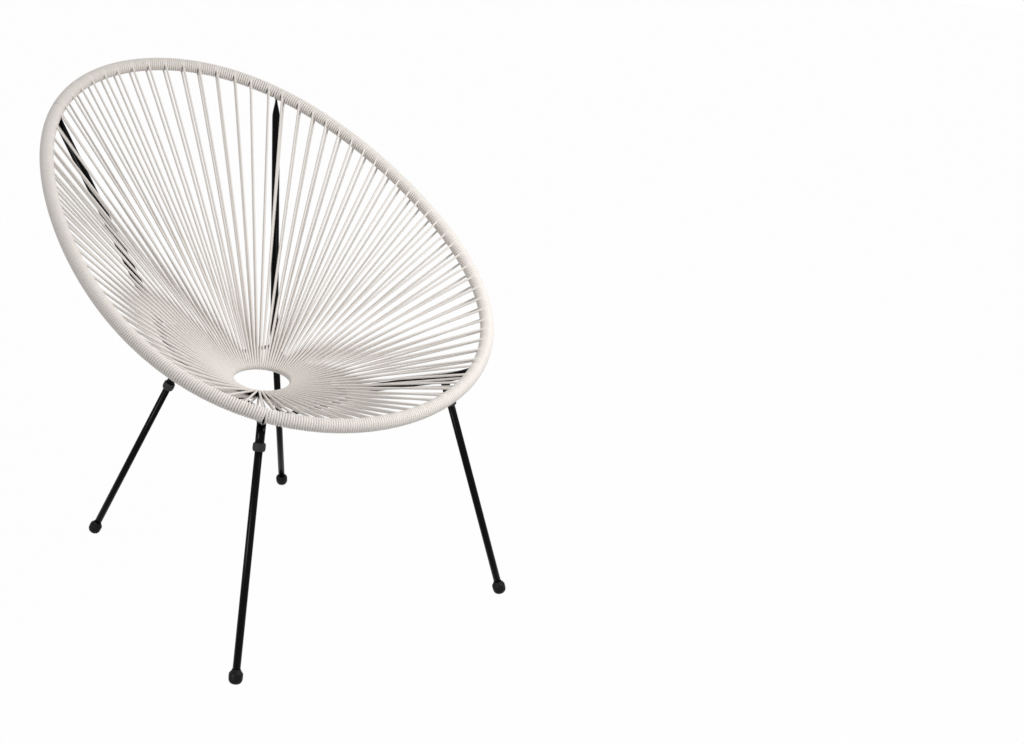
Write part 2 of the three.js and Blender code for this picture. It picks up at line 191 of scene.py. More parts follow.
def powder_coat():
    """Satin black powder: a fine orange-peel skin, patches a little duller, and a grey bloom."""
    finish = Finish(bpy.data.materials.new("black_powder_coat"))
    place = finish.node("ShaderNodeTexCoord", {}, {}, "Object")
    peel = finish.noise(place, PEEL_LUMPS, detail=3)
    patches = finish.noise(place, PATCH_LUMPS, detail=3)
    dust = finish.noise(place, DUST_LUMPS, detail=4, roughness=0.6)
    colour = finish.tint(patches * dust * BLOOM_GAIN, POWDER_BLACK, POWDER_BLOOM)
    rough = POWDER_ROUGHNESS + patches * PATCH_DULLING + dust * DUST_DULLING
    relief = finish.bump(peel, PEEL_DEPTH)
    return finish.surface(colour, rough, relief, {"Specular IOR Level": POWDER_SPECULAR})


black_powder_coat = powder_coat()


def dress(node, material):
    """Gives a CAD node's own mesh a finer material."""
    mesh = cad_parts[node].data
    mesh.materials.clear()
    mesh.materials.append(material)


dress("hoop_tube", black_powder_coat)

# The seat ring: a bent and butt-welded rod, tilted a little up to the rear. All cord turns back
# round it, and it shows as a dark line only between the turns.

RING_RADIUS = 0.058
RING_ROD_RADIUS = 0.004
RING_HEIGHT = 0.3438
RING_TILT = math.radians(7.8)

ring_centre = np.array([0, origin_shift - RING_AHEAD, RING_HEIGHT])


def ring_at(pair):
    """The rod's centre and direction at a strand pair: a circle in pairs, turned about X."""
    angle = np.asarray(pair, float) / STRAND_PAIRS * 2 * math.pi
    sine, cosine = np.sin(angle), np.cos(angle)
    outward = np.stack([sine, cosine * math.cos(RING_TILT), cosine * math.sin(RING_TILT)], axis=-1)
    along = np.stack([cosine, -sine * math.cos(RING_TILT), -sine * math.sin(RING_TILT)], axis=-1)
    return ring_centre + RING_RADIUS * outward, along


dress("seat_ring", black_powder_coat)

# The side struts: one bent steel tube a side, welded under the hoop at the front, bent past the
# ring, and up to a rear weld. Both ends are pinched flat, and the whole is powder coated.

STRUT_RADIUS = 0.0075
FRONT_WELD_PAIR = 34.5
REAR_WELD_PAIR = 7.5
FRONT_WELD_DROP_SHARE = 1.15
FRONT_KNEE_REACH = 0.057
FRONT_KNEE_SAG = 0.0045
FRONT_KNEE_FILLET = 0.020
REAR_WELD_DROP_SHARE = 1
REAR_WELD_OUT_SHARE = 0.75
STRUT_PASS = 0.0712
STRUT_RUN_ANGLE = math.radians(14.5)
FRONT_ELBOW_RUN = 0.0457
FRONT_ELBOW_DROP = 0.021
REAR_ELBOW_RUN = 0.136
REAR_ELBOW_RISE = 0.0105
FRONT_ELBOW_FILLET = 0.038
REAR_ELBOW_FILLET = 0.026
PINCH_FLAT_LENGTH = 0.008
FRONT_PINCH_LENGTH = 0.032
REAR_PINCH_LENGTH = 0.046
PINCH_THIN_SHARE = 0.27
PINCH_WIDE_SHARE = 1.25
STRUT_STEP = 0.0025
STRUT_SIDES = 36
BEND_STEPS = 24
END_ROUND = 0.0012

upward = np.array([0.0, 0.0, 1.0])
mirror = np.array([-1.0, 1.0, 1.0])
hoop_normal = np.array([0, -math.sin(HOOP_TILT), math.cos(HOOP_TILT)])
front_weld_arc = read_on(FRONT_WELD_PAIR, pairs, arcs)
rear_weld_arc = read_on(REAR_WELD_PAIR, pairs, arcs)
front_weld_centre, front_weld_way = hoop_at(front_weld_arc)
rear_weld_centre, rear_weld_way = hoop_at(rear_weld_arc)
front_weld = front_weld_centre - HOOP_TUBE_RADIUS * FRONT_WELD_DROP_SHARE * hoop_normal
rear_weld = (rear_weld_centre - HOOP_TUBE_RADIUS * REAR_WELD_DROP_SHARE * hoop_normal
             + HOOP_TUBE_RADIUS * REAR_WELD_OUT_SHARE * np.cross(hoop_normal, rear_weld_way))
nearest_pass = ring_centre + STRUT_PASS * np.array(
    [math.cos(STRUT_RUN_ANGLE), -math.sin(STRUT_RUN_ANGLE), 0])
run_way = np.array([math.sin(STRUT_RUN_ANGLE), math.cos(STRUT_RUN_ANGLE), 0])
front_elbow = nearest_pass - FRONT_ELBOW_RUN * run_way - FRONT_ELBOW_DROP * upward
rear_elbow = nearest_pass + REAR_ELBOW_RUN * run_way + REAR_ELBOW_RISE * upward
front_knee = (front_weld + FRONT_KNEE_REACH * unit(front_elbow - front_weld)
              - FRONT_KNEE_SAG * upward)


def bend(before, corner, after, fillet, share):
    """A parabola between points a fillet's length short of the corner on either side."""
    start = corner + fillet * unit(before - corner)
    end = corner + fillet * unit(after - corner)
    share = np.asarray(share, float)[..., None]
    return (1 - share) ** 2 * start + 2 * share * (1 - share) * corner + share ** 2 * end


def running_length(points):
    """The length along a line, from its first point to each of its points."""
    return np.concatenate([[0], np.cumsum(np.linalg.norm(np.diff(points, axis=0), axis=1))])


def even_line(points, spacing):
    """The same line with its points an even step apart, by arc length."""
    reach = running_length(points)
    even = np.linspace(0, reach[-1], max(2, round(reach[-1] / spacing) + 1))
    return np.stack([np.interp(even, reach, points[:, axis]) for axis in range(3)], axis=-1), even


def line_ways(line, looped=False):
    """The direction at each point: the mean of the unit steps before and after it."""
    steps = unit(np.diff(line, axis=0))
    if looped:
        close = unit(line[:1] - line[-1:])
        return unit(np.concatenate([close, steps]) + np.concatenate([steps, close]))
    return unit(np.concatenate([steps[:1], steps]) + np.concatenate([steps, steps[-1:]]))


def swept(line, reference, sides, thin, wide=None, looped=False):
    """A profile carried along a line: at each point, thin cos a along the reference made square to
    the way, plus wide sin a across it. Rows are stations, and columns go round anticlockwise."""
    way = line_ways(line, looped)
    across = unit(np.cross(way, reference))
    along = np.cross(across, way)
    thin = np.broadcast_to(np.asarray(thin, float), (len(line),))
    wide = thin if wide is None else np.broadcast_to(np.asarray(wide, float), (len(line),))
    angle = (np.arange(sides) + 0.5) / sides * 2 * math.pi
    return (line[:, None] + (thin[:, None] * np.cos(angle))[..., None] * along[:, None]
            + (wide[:, None] * np.sin(angle))[..., None] * across[:, None])


def make_piece(name, grid, material, replaced, looped=False, flipped=False, lengths=None):
    """Turns a grid of points, closed round its columns, into a piece. Its first and last rows are
    capped, or joined to each other when looped. A flipped piece is mirrored to the chair's other
    side. Lengths give a UV map: along, and round."""
    rows, sides = grid.shape[:2]
    spans = rows if looped else rows - 1
    near = np.arange(spans)[:, None] * sides
    far = (np.arange(spans)[:, None] + 1) % rows * sides
    side = np.arange(sides)[None]
    after = (side + 1) % sides
    quads = np.stack([near + side, near + after, far + after, far + side], axis=-1).reshape(-1, 4)
    caps = np.stack([side[0, ::-1], (rows - 1) * sides + side[0]])[:0 if looped else 2]
    if flipped:
        grid, quads, caps = grid * mirror, quads[:, ::-1], caps[:, ::-1]
    corners = np.concatenate([quads.ravel(), caps.ravel()])
    totals = np.array([4] * len(quads) + [sides] * len(caps))
    starts = np.concatenate([[0], np.cumsum(totals)[:-1]])
    mesh = bpy.data.meshes.new(name)
    mesh.vertices.add(rows * sides)
    mesh.vertices.foreach_set("co", np.ascontiguousarray(grid, np.float32).ravel())
    mesh.loops.add(len(corners))
    mesh.loops.foreach_set("vertex_index", corners.astype(np.int32))
    mesh.polygons.add(len(totals))
    mesh.polygons.foreach_set("loop_start", starts.astype(np.int32))
    mesh.polygons.foreach_set("use_smooth", totals == 4)
    if lengths is not None:
        around = np.broadcast_to(np.stack([side, side + 1, side + 1, side], axis=-1) / sides,
                                 (spans, sides, 4))
        along = np.stack([lengths[:-1], lengths[:-1], lengths[1:], lengths[1:]], axis=-1)[:, None]
        along = np.broadcast_to(along, (spans, sides, 4))
        chart = np.zeros((len(corners), 2), np.float32)
        chart[:spans * sides * 4] = np.stack([along, around], axis=-1).reshape(-1, 2)
        mesh.uv_layers.new(name="UVMap").data.foreach_set("uv", chart.ravel())
    mesh.update(calc_edges=True)
    mesh.validate()
    mesh.materials.append(material)
    piece = bpy.data.objects.new(name, mesh)
    bpy.context.scene.collection.objects.link(piece)
    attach(piece, "root")
    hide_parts(*replaced)


bend_shares = np.linspace(0, 1, BEND_STEPS + 1)
knee_bend = bend(front_weld, front_knee, front_elbow, FRONT_KNEE_FILLET, bend_shares)
front_bend = bend(front_knee, front_elbow, rear_elbow, FRONT_ELBOW_FILLET, bend_shares)
rear_bend = bend(front_elbow, rear_elbow, rear_weld, REAR_ELBOW_FILLET, bend_shares)
strut_line, strut_reach = even_line(
    np.concatenate([[front_weld], knee_bend, front_bend, rear_bend, [rear_weld]]), STRUT_STEP)


def smooth_step(value, low, high):
    """0 below low, 1 above high, and 3s squared less 2s cubed between them."""
    share = np.clip((value - low) / (high - low), 0, 1)
    return share * share * (3 - 2 * share)


def rounded_end(reach, length, edge):
    """How far the skin draws in near either end: a quarter circle of the edge's radius."""
    depth = np.clip(edge - np.minimum(reach, length - reach), 0, edge)
    return edge - np.sqrt(edge ** 2 - depth ** 2)


def strut_grid():
    """The strut's section goes from the pinched oval at each weld to the full round tube."""
    from_rear = strut_reach[-1] - strut_reach
    pinch = (2 - smooth_step(strut_reach, PINCH_FLAT_LENGTH, FRONT_PINCH_LENGTH)
             - smooth_step(from_rear, PINCH_FLAT_LENGTH, REAR_PINCH_LENGTH))
    draw = rounded_end(strut_reach, strut_reach[-1], END_ROUND)
    thin = STRUT_RADIUS * (1 + (PINCH_THIN_SHARE - 1) * pinch) - draw
    wide = STRUT_RADIUS * (1 + (PINCH_WIDE_SHARE - 1) * pinch) - draw
    share = (strut_reach / strut_reach[-1])[:, None]
    reference = (1 - share) * -front_weld_way + share * rear_weld_way
    return swept(strut_line, reference, STRUT_SIDES, thin, wide)


for side_name, flip in (("left", False), ("right", True)):
    make_piece(f"side_strut_{side_name}_tube", strut_grid(), black_powder_coat,
               [f"side_strut_{side_name}"], flipped=flip)

# The leg stubs: short tubes fish-mouthed to the underside of each strut and welded all round.
# Each holds a zinc-plated threaded insert, which its leg screws into.

STUB_RADIUS = 0.0075
STUB_WALL = 0.0013
STUB_EDGE = 0.0004
FIT_GAP = 0.0003
FRONT_FOOT_SIDE = 0.2787
FRONT_FOOT_AHEAD = 0.3853
FRONT_STUB_LENGTH = 0.0435
REAR_FOOT_SIDE = 0.2136
REAR_FOOT_BEHIND = 0.2119
REAR_STUB_LENGTH = 0.0495
FOOT_CENTRE_HEIGHT = 0.0106
BEAD_RADIUS = 0.0014
BEAD_RIPPLE = 0.00022
BEAD_WAVE = 0.0021
BEAD_SIDES = 10
BEAD_POINTS = 96
TUBE_SIDES = 40
MEET_STEPS = 80
STEEP_SHARE = 0.9
ZINC_GREY = (0.50, 0.51, 0.53)
ZINC_PALE = (0.66, 0.67, 0.69)
ZINC_ROUGHNESS = 0.26
ZINC_CLOUD_DULLING = 0.2
ZINC_CLOUD_LUMPS = 260
ZINC_GRAIN_LUMPS = 2600
ZINC_GRAIN_DEPTH = 0.00002

front_joint = bend(front_weld, front_knee, front_elbow, FRONT_KNEE_FILLET, 0.5)
rear_joint = bend(front_elbow, rear_elbow, rear_weld, REAR_ELBOW_FILLET, 0.5)
front_foot = np.array([FRONT_FOOT_SIDE, origin_shift - FRONT_FOOT_AHEAD, FOOT_CENTRE_HEIGHT])
rear_foot = np.array([REAR_FOOT_SIDE, origin_shift + REAR_FOOT_BEHIND, FOOT_CENTRE_HEIGHT])
legs = [
    ("front_left", front_foot, front_joint, FRONT_STUB_LENGTH, False),
    ("front_right", front_foot, front_joint, FRONT_STUB_LENGTH, True),
    ("rear_left", rear_foot, rear_joint, REAR_STUB_LENGTH, False),
    ("rear_right", rear_foot, rear_joint, REAR_STUB_LENGTH, True),
]


def leg_axis(foot, joint, stub_length):
    """The way from a foot up to its joint on the strut, and how far up it the leg's top lies."""
    return unit(joint - foot), np.linalg.norm(joint - foot) - stub_length


def square_to(way):
    """Two unit vectors square to a way and to each other."""
    first = unit(np.cross(way, upward if abs(way[2]) < STEEP_SHARE else np.array([0, 1.0, 0])))
    return first, np.cross(way, first)


def turned(base, way, profile, sides):
    """A profile of radius and height, turned about an axis: base + height way + radius (cos, sin).
    Each height may be one number, or one for each side."""
    first, second = square_to(way)
    angle = np.arange(sides) / sides * 2 * math.pi
    around = np.cos(angle)[:, None] * first + np.sin(angle)[:, None] * second
    return np.stack([
        base + radius * around + np.broadcast_to(np.asarray(height, float), (sides,))[:, None] * way
        for radius, height in profile
    ])


def clearance(points, line, radius):
    """How far each point lies from the skin of a tube: the nearest distance to its centre line,
    piece by piece, less the radius."""
    start, step = line[:-1], np.diff(line, axis=0)
    offset = points[:, None] - start
    share = np.clip((offset * step).sum(-1) / (step ** 2).sum(-1), 0, 1)
    return np.linalg.norm(offset - share[..., None] * step, axis=-1).min(1) - radius


def meet(starts, way, line, radius, most):
    """How far each start can go along the way before it touches the tube. Each goes forward by its
    own clearance, again and again, and stops at the most that is allowed."""
    gone = np.zeros(len(starts))
    for _ in range(MEET_STEPS):
        gone = np.minimum(gone + clearance(starts + gone[:, None] * way, line, radius), most)
    return gone


def weld_bead(name, ring, reference, flip, radius=BEAD_RADIUS):
    """A bead laid along a closed ring of points. Its radius ripples as a sine along its length."""
    reach = running_length(np.concatenate([ring, ring[:1]]))
    waves = max(1, round(reach[-1] / BEAD_WAVE))
    swell = radius + BEAD_RIPPLE * np.sin(reach[:-1] / reach[-1] * waves * 2 * math.pi)
    grid = swept(ring, reference, BEAD_SIDES, swell, looped=True)
    make_piece(name, grid, black_powder_coat, [], looped=True, flipped=flip)


for leg_name, foot, joint, stub_length, flip in legs:
    leg_way, leg_length = leg_axis(foot, joint, stub_length)
    base = foot + (leg_length + FIT_GAP) * leg_way
    bore = STUB_RADIUS - STUB_WALL
    rim = turned(base, leg_way, [(STUB_RADIUS, 0)], BEAD_POINTS)[0]
    rise = meet(rim, leg_way, strut_line, STRUT_RADIUS, stub_length)
    crown = rim + rise[:, None] * leg_way
    weld_bead(f"{leg_name}_stub_weld", crown, rim - base, flip)
    outer = turned(base, leg_way, [(STUB_RADIUS, 0)], TUBE_SIDES)[0]
    outer_rise = meet(outer, leg_way, strut_line, STRUT_RADIUS, stub_length)
    inner = turned(base, leg_way, [(bore, 0)], TUBE_SIDES)[0]
    inner_rise = meet(inner, leg_way, strut_line, STRUT_RADIUS, stub_length)
    profile = [
        (bore, STUB_EDGE), (bore + STUB_EDGE, 0), (STUB_RADIUS - STUB_EDGE, 0),
        (STUB_RADIUS, STUB_EDGE), (STUB_RADIUS, outer_rise / 2), (STUB_RADIUS, outer_rise),
        (bore, inner_rise), (bore, inner_rise / 2),
    ]
    make_piece(f"{leg_name}_stub_tube", turned(base, leg_way, profile, TUBE_SIDES),
               black_powder_coat, [f"{leg_name}_stub"], looped=True, flipped=flip)


def zinc_plate():
    """Zinc plate: a bright, slightly blue metal with fine cloudy patches."""
    finish = Finish(bpy.data.materials.new("zinc_plate"))
    place = finish.node("ShaderNodeTexCoord", {}, {}, "Object")
    clouds = finish.noise(place, ZINC_CLOUD_LUMPS, detail=3)
    grain = finish.noise(place, ZINC_GRAIN_LUMPS)
    colour = finish.tint(clouds, ZINC_GREY, ZINC_PALE)
    rough = ZINC_ROUGHNESS + clouds * ZINC_CLOUD_DULLING
    return finish.surface(colour, rough, finish.bump(grain, ZINC_GRAIN_DEPTH), {"Metallic": 1.0})


zinc = zinc_plate()
for leg_name, *_ in legs:
    dress(f"{leg_name}_insert", zinc)

# The crossbars: two thin steel rods that tie the struts together. The front one hangs in a shallow
# bow under the front arms, and the rear one runs straight between the rear elbows.

CROSSBAR_RADIUS = 0.0035
FRONT_BAR_REACH = 0.118
FRONT_BAR_SAG = 0.00863
CROSSBAR_STEP = 0.006
CROSSBAR_SIDES = 24
BOW_STEPS = 80
BAR_END_STEPS = 6
BAR_BEAD_RADIUS = 0.0011
BAR_BEAD_START = 0.03

front_bar_end = (front_elbow + FRONT_BAR_REACH * unit(front_knee - front_elbow)
                 - STRUT_RADIUS * upward)


def crossbar(name, end, sag):
    """A rod along a parabola from one strut to the other, its middle lower by the sag. A bead runs
    round it where it meets each strut."""
    share = np.linspace(0, 1, BOW_STEPS + 1)[:, None]
    middle = end * [0, 1, 1] - 2 * sag * upward
    line = (1 - share) ** 2 * end + 2 * share * (1 - share) * middle + share ** 2 * end * mirror
    line, reach = even_line(line, CROSSBAR_STEP)
    keep = clearance(line, strut_line, 0) > CROSSBAR_RADIUS
    keep &= clearance(line * mirror, strut_line, 0) > CROSSBAR_RADIUS
    own_reach = reach[keep] - reach[keep][0]
    draw = rounded_end(own_reach, own_reach[-1], END_ROUND / 2)
    grid = swept(line[keep], upward, CROSSBAR_SIDES, CROSSBAR_RADIUS - draw)
    make_piece(f"{name}_rod", grid, black_powder_coat, [name])
    way = unit(line[0] - line[BAR_END_STEPS])
    start = line[0] - BAR_BEAD_START * way
    rim = turned(start, way, [(CROSSBAR_RADIUS, 0)], BEAD_POINTS)[0]
    gone = meet(rim, way, strut_line, STRUT_RADIUS, BAR_BEAD_START)
    for side_name, flip in (("left", False), ("right", True)):
        weld_bead(f"{name}_weld_{side_name}", rim + gone[:, None] * way, rim - start, flip,
                  BAR_BEAD_RADIUS)


crossbar("front_crossbar", front_bar_end, FRONT_BAR_SAG)
crossbar("rear_crossbar", rear_joint, 0)

# The seat cord: round soft plastic cord, 4 mm thick, in 14 lengths. It is wound tight round the
# hoop, drops to the ring as a front strand, turns round the rod and comes back as a back strand.

CORD_RADIUS = 0.002
CORD_PIECES = 14
CORD_SIDES = 12
TURN_STEPS = 24
TIGHT_PITCH = 0.00403
WELD_CROSSING = 0.0086
FRONT_WELD_PHASE = 0.392
REAR_WELD_PHASE = 0.542
CROSSING_SPREAD = 0.6
WELD_LEAN = 0.0024
WELD_LEAN_REACH = 0.040
STRAND_PHASE = 0.75
STRAND_LEAN = 0.0018
STRAND_LEAN_REACH = 0.011
LEAN_START = 0.003
TURN_SLIDE = 0.0030
SLIDE_PHASE = 0.65
STRAND_EASE = 0.012
EASE_STATIONS = np.array([0.0006, 0.0015, 0.0028, 0.0045, 0.0065, 0.009, 0.012])
STRAND_MIDDLE_SHARES = np.array([0.35, 0.65])
LOOP_STEPS = 12
SLACK_POWER = 3
CORD_PRESS = 0.00012
WINDING_RADIUS = HOOP_TUBE_RADIUS + CORD_RADIUS - CORD_PRESS
LOOP_RADIUS = RING_ROD_RADIUS + CORD_RADIUS
CREAM_DARK = (0.765, 0.72, 0.68)
CREAM_PALE = (0.835, 0.79, 0.75)
CREAM_ROUGHNESS = 0.40
CREAM_SPECULAR = 0.4
DRAWN_LINES = (6.0, 14.0, 1.0)
LENGTH_TONES = (2.2, 0.0, 1.0)
CREAM_GRAIN_LUMPS = 1800
CREAM_GRAIN_DEPTH = 0.00001
DRAWN_LINE_DEPTH = 0.00002
DRAWN_LINE_DULLING = 0.08
LENGTH_TONE_SHARE = 0.85
WINDING_SEED = 86

chance = np.random.default_rng(WINDING_SEED)
welds = [
    (-rear_weld_arc, REAR_WELD_PHASE),
    (rear_weld_arc, REAR_WELD_PHASE),
    (front_weld_arc, FRONT_WELD_PHASE),
    (hoop_length - front_weld_arc, FRONT_WELD_PHASE),
    (hoop_length - rear_weld_arc, REAR_WELD_PHASE),
]


def lay_turns(low, high):
    """Where each turn of a stretch starts: as many tight turns as fit, and what is left over goes
    mostly between a few of them, as hand winding leaves it."""
    count = int((high - low) / TIGHT_PITCH)
    slack = chance.random(count) ** SLACK_POWER
    widths = TIGHT_PITCH + (high - low - count * TIGHT_PITCH) * slack / slack.sum()
    return low + np.concatenate([[0], np.cumsum(widths)[:-1]])


# A turn starts at the underside of the hoop. One wide turn crosses over each weld.
turn_arcs, crossings = [], {}
for (weld_before, _), (weld_after, weld_phase) in zip(welds[:-1], welds[1:]):
    turn_arcs.extend(lay_turns(weld_before + WELD_CROSSING / 2, weld_after - WELD_CROSSING / 2))
    crossings[len(turn_arcs)] = weld_phase
    turn_arcs.append(weld_after - WELD_CROSSING / 2)
turn_arcs = np.array(turn_arcs)
turn_count = len(turn_arcs)
turn_widths = np.diff(np.append(turn_arcs, turn_arcs[0] + hoop_length))

# First turns are those that a back strand leads into: the one nearest the place of each pair
pair_arcs = read_on(np.arange(STRAND_PAIRS, dtype=float), pairs, arcs)
pair_offsets = (turn_arcs - pair_arcs[:, None] + hoop_length / 2) % hoop_length - hoop_length / 2
first_turns = np.abs(pair_offsets).argmin(1)
last_turns = (first_turns - 1) % turn_count
gaps = [(arc, phase, WELD_LEAN, WELD_LEAN_REACH) for arc, phase in welds[1:]]
gaps += [(arc, STRAND_PHASE, STRAND_LEAN, STRAND_LEAN_REACH)
         for arc in turn_arcs[last_turns] + STRAND_PHASE * turn_widths[last_turns]]


def settled(arc, phase):
    """Turns are laid square over the outside, and step on to the next inside: a cosine moves them
    back by half a slide at the slide's phase, and ahead as much opposite it. They also lean over a
    gap, where the strut or a strand takes the place of one. At d from the middle of the gap they
    move by lean tanh(d / start) exp(-(d / reach)^2) (1 + cos a) / 2, and a is the angle from the
    side that the gap is on."""
    moved = arc - TURN_SLIDE / 2 * np.cos(2 * math.pi * (phase - SLIDE_PHASE))
    for middle, free_phase, lean, reach in gaps:
        away = (arc - middle + hoop_length / 2) % hoop_length - hoop_length / 2
        facing = (1 + np.cos(2 * math.pi * (phase - free_phase))) / 2
        moved -= lean * np.tanh(away / LEAN_START) * np.exp(-(away / reach) ** 2) * facing
    return moved


def winding():
    """A helix on the hoop. Its angle falls by one turn from underside to underside, while its arc
    gains the turn's width: evenly, or for a turn at a weld in a smooth step on the free side."""
    turn = np.repeat(np.arange(turn_count), TURN_STEPS)
    phase = np.tile(np.arange(TURN_STEPS) / TURN_STEPS, turn_count)
    gain = phase.copy()
    for crossing, middle in crossings.items():
        even = TIGHT_PITCH / WELD_CROSSING
        step = smooth_step(phase, middle - CROSSING_SPREAD / 2, middle + CROSSING_SPREAD / 2)
        gain = np.where(turn == crossing, even * phase + (1 - even) * step, gain)
    arc = settled(turn_arcs[turn] + turn_widths[turn] * gain, phase)
    open_turn = np.isin((turn + 1) % turn_count, first_turns) & (phase > 0.5)
    return turn[~open_turn], phase[~open_turn], arc[~open_turn]


def towards_ring(arc):
    """At an arc of the hoop: its centre, its way, the unit vector square to it towards the ring,
    and the upper side, square to both."""
    centre, way = hoop_at(arc)
    to_ring = ring_at(read_on(arc, arcs, pairs))[0] - centre
    inward = unit(to_ring - (to_ring * way).sum(-1, keepdims=True) * way)
    return centre, way, inward, np.cross(inward, way)


def eased(start, start_way, end, end_way):
    """A straight strand whose ends swing out of the turns beside it. At a distance s from an end
    it stands off by s (1 - s / ease) squared times the difference of the two directions."""
    run = end - start
    length = np.linalg.norm(run, axis=-1)
    way = run / length[:, None]
    ease = EASE_STATIONS * (1 - EASE_STATIONS / STRAND_EASE) ** 2
    near = (start[:, None] + EASE_STATIONS[:, None] * way[:, None]
            + ease[:, None] * (start_way - way)[:, None])
    far = (end[:, None] - EASE_STATIONS[::-1, None] * way[:, None]
           - ease[::-1, None] * (end_way - way)[:, None])
    middle = start[:, None] + run[:, None] * STRAND_MIDDLE_SHARES[:, None]
    return np.concatenate([near, middle, far], axis=1)


def hoop_turns():
    """The turns round the hoop: each point is the centre plus the winding's radius times (cos,
    sin). With them go the direction away from the tube, and a key: a turn's number plus its phase."""
    turn, phase, arc = winding()
    centre, _, inward, upper = towards_ring(arc)
    angle = (-2 * math.pi * (phase + 0.25))[:, None]
    outward = np.cos(angle) * inward + np.sin(angle) * upper
    return centre + WINDING_RADIUS * outward, outward, turn + phase


def strung_pairs():
    """The strands: each pair leaves the top of a turn, runs to the rod, takes half a turn round it
    as (cos, sin) times its radius, and comes back to the underside. Directions and keys as above."""
    top_arc = settled(turn_arcs[last_turns] + turn_widths[last_turns] / 2, 0.5)
    top_centre, top_way, top_in, top_up = towards_ring(top_arc)
    low_arc = settled(turn_arcs[first_turns], 0)
    low_centre, low_way, low_in, low_up = towards_ring(low_arc)
    top = top_centre + WINDING_RADIUS * top_up
    low = low_centre - WINDING_RADIUS * low_up
    round_length = 2 * math.pi * WINDING_RADIUS
    slide_rate = math.pi * TURN_SLIDE * math.sin(2 * math.pi * (SLIDE_PHASE - 0.5))
    top_screw = (TIGHT_PITCH - slide_rate) / round_length
    low_screw = (TIGHT_PITCH + slide_rate) / round_length
    rod, rod_way = ring_at(np.arange(STRAND_PAIRS))
    run = unit(rod - (top_centre + low_centre) / 2)
    rod_up = unit(np.cross(run, rod_way))
    rod_in = np.cross(rod_way, rod_up)
    front = eased(top, unit(top_in + top_screw * top_way), rod + LOOP_RADIUS * rod_up, rod_in)
    back = eased(rod - LOOP_RADIUS * rod_up, -rod_in, low, unit(-low_in + low_screw * low_way))
    swing = np.linspace(0, math.pi, LOOP_STEPS + 1)[:, None]
    loop_out = np.cos(swing) * rod_up[:, None] + np.sin(swing) * rod_in[:, None]
    loop = rod[:, None] + LOOP_RADIUS * loop_out
    blend = np.linspace(0, 1, front.shape[1])[:, None]
    front_out = (1 - blend) * top_up[:, None] + blend * rod_up[:, None]
    back_out = -(1 - blend) * rod_up[:, None] - blend * low_up[:, None]
    strand = np.concatenate([front, loop, back], axis=1)
    outward = np.concatenate([front_out, loop_out, back_out], axis=1)
    places = (np.arange(strand.shape[1]) + 1) / (strand.shape[1] + 1)
    keys = last_turns[:, None] + 0.5 + 0.5 * places
    return strand.reshape(-1, 3), outward.reshape(-1, 3), keys.ravel()


def cord_line():
    """The whole cord as one closed line, its turns and strands in the order of their keys."""
    points, outwards, keys = (
        np.concatenate(parts) for parts in zip(hoop_turns(), strung_pairs()))
    order = np.argsort(keys)
    return points[order], unit(outwards[order]), keys[order]


def soft_cord():
    """Cream plastic cord: smooth and half matt, with faint drawing lines along it, slow changes of
    tone from length to length, and a very fine grain."""
    finish = Finish(bpy.data.materials.new("cream_cord"))
    chart = finish.node("ShaderNodeUVMap", {"uv_map": "UVMap"})
    place = finish.node("ShaderNodeTexCoord", {}, {}, "Object")
    drawn = finish.node("ShaderNodeMapping", {}, {"Vector": chart, "Scale": DRAWN_LINES})
    lines = finish.noise(drawn, 1.0, detail=3, roughness=0.6)
    lengthwise = finish.node("ShaderNodeMapping", {}, {"Vector": chart, "Scale": LENGTH_TONES})
    tone = finish.noise(lengthwise, 1.0)
    grain = finish.noise(place, CREAM_GRAIN_LUMPS)
    mottle = tone * LENGTH_TONE_SHARE + lines * (1 - LENGTH_TONE_SHARE)
    colour = finish.tint(mottle, CREAM_DARK, CREAM_PALE)
    rough = CREAM_ROUGHNESS + lines * DRAWN_LINE_DULLING
    relief = finish.bump(grain, CREAM_GRAIN_DEPTH, finish.bump(lines, DRAWN_LINE_DEPTH))
    return finish.surface(colour, rough, relief, {"Specular IOR Level": CREAM_SPECULAR})


cream_cord = soft_cord()
line, line_out, line_keys = cord_line()
line_reach = running_length(line)
cord_grid = swept(line, line_out, CORD_SIDES, CORD_RADIUS, looped=True)
first_pairs = [round(piece * STRAND_PAIRS / CORD_PIECES) for piece in range(CORD_PIECES)]
turns_before = (first_turns - np.roll(first_turns, 1)) % turn_count
cuts = [(first_turns[pair] - turns_before[pair] // 2) % turn_count for pair in first_pairs]
for piece in range(CORD_PIECES):
    start = np.searchsorted(line_keys, cuts[piece])
    stop = np.searchsorted(line_keys, cuts[(piece + 1) % CORD_PIECES])
    rows = np.arange(start, stop + 1 if stop > start else stop + 1 + len(line)) % len(line)
    make_piece(f"seat_cord_{piece + 1}_strung", cord_grid[rows], cream_cord,
               [f"seat_cord_{piece + 1}", "ring_winding"],
               lengths=line_reach[start] + running_length(line[rows]))

# The legs: steel tubes with a zinc-plated threaded plug pressed into the top of each. They screw
# into the stubs and can be taken off to pack the chair.

LEG_RADIUS = 0.0064
LEG_WALL = 0.0012
FOOT_RADIUS = 0.0115
FOOT_FLOOR = 0.004
LEG_EDGE = 0.0004

